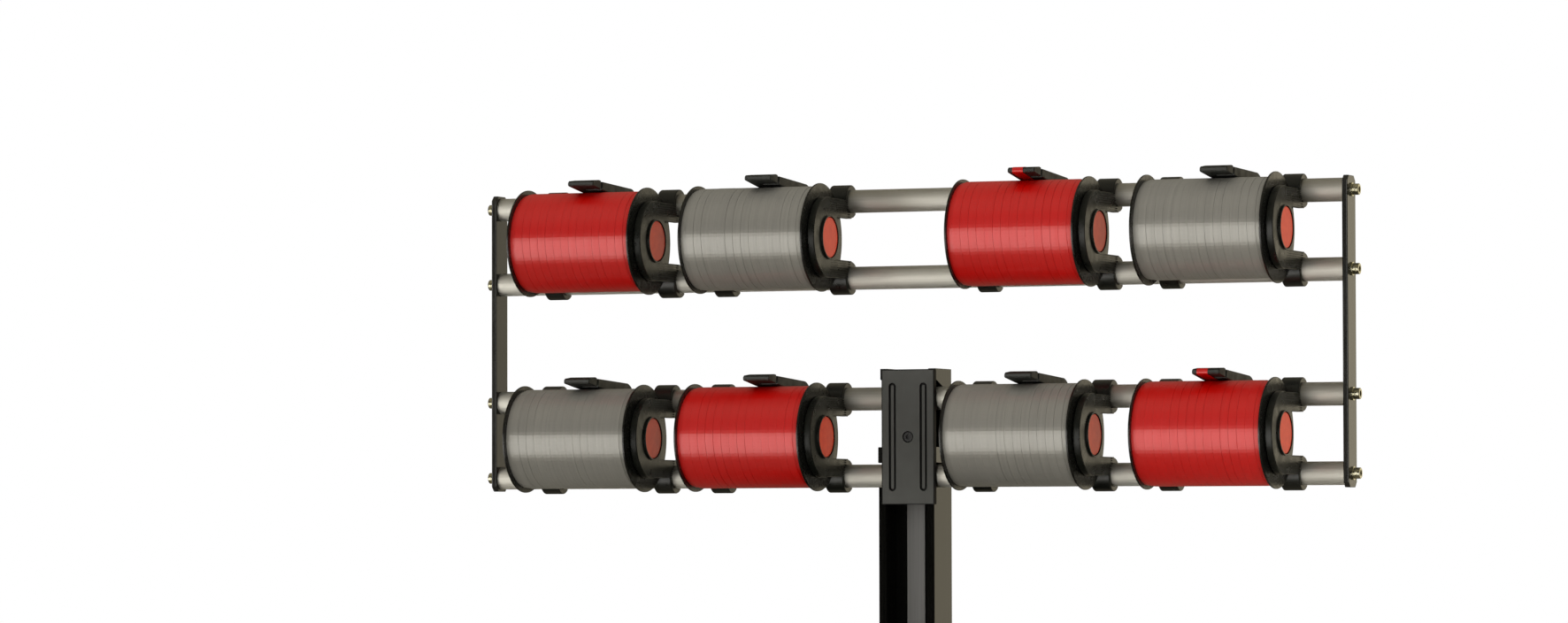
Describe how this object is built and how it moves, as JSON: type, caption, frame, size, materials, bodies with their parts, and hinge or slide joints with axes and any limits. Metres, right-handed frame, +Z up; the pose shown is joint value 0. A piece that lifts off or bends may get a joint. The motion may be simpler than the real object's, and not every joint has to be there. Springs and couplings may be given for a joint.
{
  "type": "spool dispenser with cutter",
  "caption": "Counter rack of ribbon spools between paired tubes, each spool with a red hub button and a swinging cutter above it, on a post and foot.",
  "frame": {"origin": "on the counter, below the middle of the rack's outline", "axes": "+X along the tubes towards the button side of each spool, +Y away from the customer, +Z up"},
  "size_m": [0.8448, 0.24, 0.4878],
  "materials": {
    "black_paint": "satin black",
    "clamp_black": "fine texture",
    "tube_aluminium": "satin",
    "black_plastic": "gloss",
    "red_plastic": "gloss",
    "red_ribbon": "satin",
    "grey_ribbon": "satin",
    "grey_strip": "matte",
    "pad_rubber": "matte",
    "zinc": "zinc plated",
    "dark_steel": "blackened",
    "spring_steel": "bright",
    "blade_steel": "ground"
  },
  "bodies": {
    "rack": {"foot_plate": "black_paint", "foot_pads": "pad_rubber", "post": "black_paint", "post_screws": "zinc", "post_strip": "grey_strip", "clamp_plate": "clamp_black", "clamp_spacer": "clamp_black", "clamp_screw": "dark_steel", "clamp_nut": "zinc", "end_bar_left": "black_paint", "end_bar_right": "black_paint", "tube_upper_top": "tube_aluminium", "tube_upper_bottom": "tube_aluminium", "tube_lower_top": "tube_aluminium", "tube_lower_bottom": "tube_aluminium", "tube_end_plugs": "grey_strip", "end_screws": "zinc", "right_holders": "black_plastic", "left_holders": "black_plastic", "button_springs": "spring_steel"},
    "spool_upper_1": {"spool_upper_1": "black_plastic", "ribbon_upper_1": "red_ribbon"},
    "button_upper_1": {"button_upper_1": "red_plastic"},
    "cutter_upper_1": {"cutter_arm_upper_1": "black_plastic", "cutter_blade_upper_1": "blade_steel"},
    "spool_upper_2": {"spool_upper_2": "black_plastic", "ribbon_upper_2": "grey_ribbon"},
    "button_upper_2": {"button_upper_2": "red_plastic"},
    "cutter_upper_2": {"cutter_arm_upper_2": "black_plastic", "cutter_blade_upper_2": "blade_steel"},
    "spool_upper_3": {"spool_upper_3": "black_plastic", "ribbon_upper_3": "red_ribbon"},
    "button_upper_3": {"button_upper_3": "red_plastic"},
    "cutter_upper_3": {"cutter_arm_upper_3": "black_plastic", "cutter_blade_upper_3": "blade_steel"},
    "spool_upper_4": {"spool_upper_4": "black_plastic", "ribbon_upper_4": "grey_ribbon"},
    "button_upper_4": {"button_upper_4": "red_plastic"},
    "cutter_upper_4": {"cutter_arm_upper_4": "black_plastic", "cutter_blade_upper_4": "blade_steel"},
    "spool_lower_1": {"spool_lower_1": "black_plastic", "ribbon_lower_1": "grey_ribbon"},
    "button_lower_1": {"button_lower_1": "red_plastic"},
    "cutter_lower_1": {"cutter_arm_lower_1": "black_plastic", "cutter_blade_lower_1": "blade_steel"},
    "spool_lower_2": {"spool_lower_2": "black_plastic", "ribbon_lower_2": "red_ribbon"},
    "button_lower_2": {"button_lower_2": "red_plastic"},
    "cutter_lower_2": {"cutter_arm_lower_2": "black_plastic", "cutter_blade_lower_2": "blade_steel"},
    "spool_lower_3": {"spool_lower_3": "black_plastic", "ribbon_lower_3": "grey_ribbon"},
    "button_lower_3": {"button_lower_3": "red_plastic"},
    "cutter_lower_3": {"cutter_arm_lower_3": "black_plastic", "cutter_blade_lower_3": "blade_steel"},
    "spool_lower_4": {"spool_lower_4": "black_plastic", "ribbon_lower_4": "red_ribbon"},
    "button_lower_4": {"button_lower_4": "red_plastic"},
    "cutter_lower_4": {"cutter_arm_lower_4": "black_plastic", "cutter_blade_lower_4": "blade_steel"}
  },
  "joints": [
    {"name": "spool_spin_upper_1", "type": "hinge", "parent": "rack", "child": "spool_upper_1", "pos_m": [0, -0.026, 0.43], "axis": [1, 0, 0], "continuous": true},
    {"name": "button_press_upper_1", "type": "slide", "parent": "rack", "child": "button_upper_1", "axis": [-1, 0, 0], "range_m": [0, 0.0025], "stiffness_N_per_m": 400, "springref_m": -0.002},
    {"name": "cutter_lift_upper_1", "type": "hinge", "parent": "rack", "child": "cutter_upper_1", "pos_m": [0, 0.03, 0.465], "axis": [-1, 0, 0], "range_deg": [0, 60]},
    {"name": "spool_spin_upper_2", "type": "hinge", "parent": "rack", "child": "spool_upper_2", "pos_m": [0, -0.026, 0.43], "axis": [1, 0, 0], "continuous": true},
    {"name": "button_press_upper_2", "type": "slide", "parent": "rack", "child": "button_upper_2", "axis": [-1, 0, 0], "range_m": [0, 0.0025], "stiffness_N_per_m": 400, "springref_m": -0.002},
    {"name": "cutter_lift_upper_2", "type": "hinge", "parent": "rack", "child": "cutter_upper_2", "pos_m": [0, 0.03, 0.465], "axis": [-1, 0, 0], "range_deg": [0, 60]},
    {"name": "spool_spin_upper_3", "type": "hinge", "parent": "rack", "child": "spool_upper_3", "pos_m": [0, -0.026, 0.43], "axis": [1, 0, 0], "continuous": true},
    {"name": "button_press_upper_3", "type": "slide", "parent": "rack", "child": "button_upper_3", "axis": [-1, 0, 0], "range_m": [0, 0.0025], "stiffness_N_per_m": 400, "springref_m": -0.002},
    {"name": "cutter_lift_upper_3", "type": "hinge", "parent": "rack", "child": "cutter_upper_3", "pos_m": [0, 0.03, 0.465], "axis": [-1, 0, 0], "range_deg": [0, 60]},
    {"name": "spool_spin_upper_4", "type": "hinge", "parent": "rack", "child": "spool_upper_4", "pos_m": [0, -0.026, 0.43], "axis": [1, 0, 0], "continuous": true},
    {"name": "button_press_upper_4", "type": "slide", "parent": "rack", "child": "button_upper_4", "axis": [-1, 0, 0], "range_m": [0, 0.0025], "stiffness_N_per_m": 400, "springref_m": -0.002},
    {"name": "cutter_lift_upper_4", "type": "hinge", "parent": "rack", "child": "cutter_upper_4", "pos_m": [0, 0.03, 0.465], "axis": [-1, 0, 0], "range_deg": [0, 60]},
    {"name": "spool_spin_lower_1", "type": "hinge", "parent": "rack", "child": "spool_lower_1", "pos_m": [0, -0.026, 0.25], "axis": [1, 0, 0], "continuous": true},
    {"name": "button_press_lower_1", "type": "slide", "parent": "rack", "child": "button_lower_1", "axis": [-1, 0, 0], "range_m": [0, 0.0025], "stiffness_N_per_m": 400, "springref_m": -0.002},
    {"name": "cutter_lift_lower_1", "type": "hinge", "parent": "rack", "child": "cutter_lower_1", "pos_m": [0, 0.03, 0.285], "axis": [-1, 0, 0], "range_deg": [0, 60]},
    {"name": "spool_spin_lower_2", "type": "hinge", "parent": "rack", "child": "spool_lower_2", "pos_m": [0, -0.026, 0.25], "axis": [1, 0, 0], "continuous": true},
    {"name": "button_press_lower_2", "type": "slide", "parent": "rack", "child": "button_lower_2", "axis": [-1, 0, 0], "range_m": [0, 0.0025], "stiffness_N_per_m": 400, "springref_m": -0.002},
    {"name": "cutter_lift_lower_2", "type": "hinge", "parent": "rack", "child": "cutter_lower_2", "pos_m": [0, 0.03, 0.285], "axis": [-1, 0, 0], "range_deg": [0, 60]},
    {"name": "spool_spin_lower_3", "type": "hinge", "parent": "rack", "child": "spool_lower_3", "pos_m": [0, -0.026, 0.25], "axis": [1, 0, 0], "continuous": true},
    {"name": "button_press_lower_3", "type": "slide", "parent": "rack", "child": "button_lower_3", "axis": [-1, 0, 0], "range_m": [0, 0.0025], "stiffness_N_per_m": 400, "springref_m": -0.002},
    {"name": "cutter_lift_lower_3", "type": "hinge", "parent": "rack", "child": "cutter_lower_3", "pos_m": [0, 0.03, 0.285], "axis": [-1, 0, 0], "range_deg": [0, 60]},
    {"name": "spool_spin_lower_4", "type": "hinge", "parent": "rack", "child": "spool_lower_4", "pos_m": [0, -0.026, 0.25], "axis": [1, 0, 0], "continuous": true},
    {"name": "button_press_lower_4", "type": "slide", "parent": "rack", "child": "button_lower_4", "axis": [-1, 0, 0], "range_m": [0, 0.0025], "stiffness_N_per_m": 400, "springref_m": -0.002},
    {"name": "cutter_lift_lower_4", "type": "hinge", "parent": "rack", "child": "cutter_lower_4", "pos_m": [0, 0.03, 0.285], "axis": [-1, 0, 0], "range_deg": [0, 60]}
  ]
}
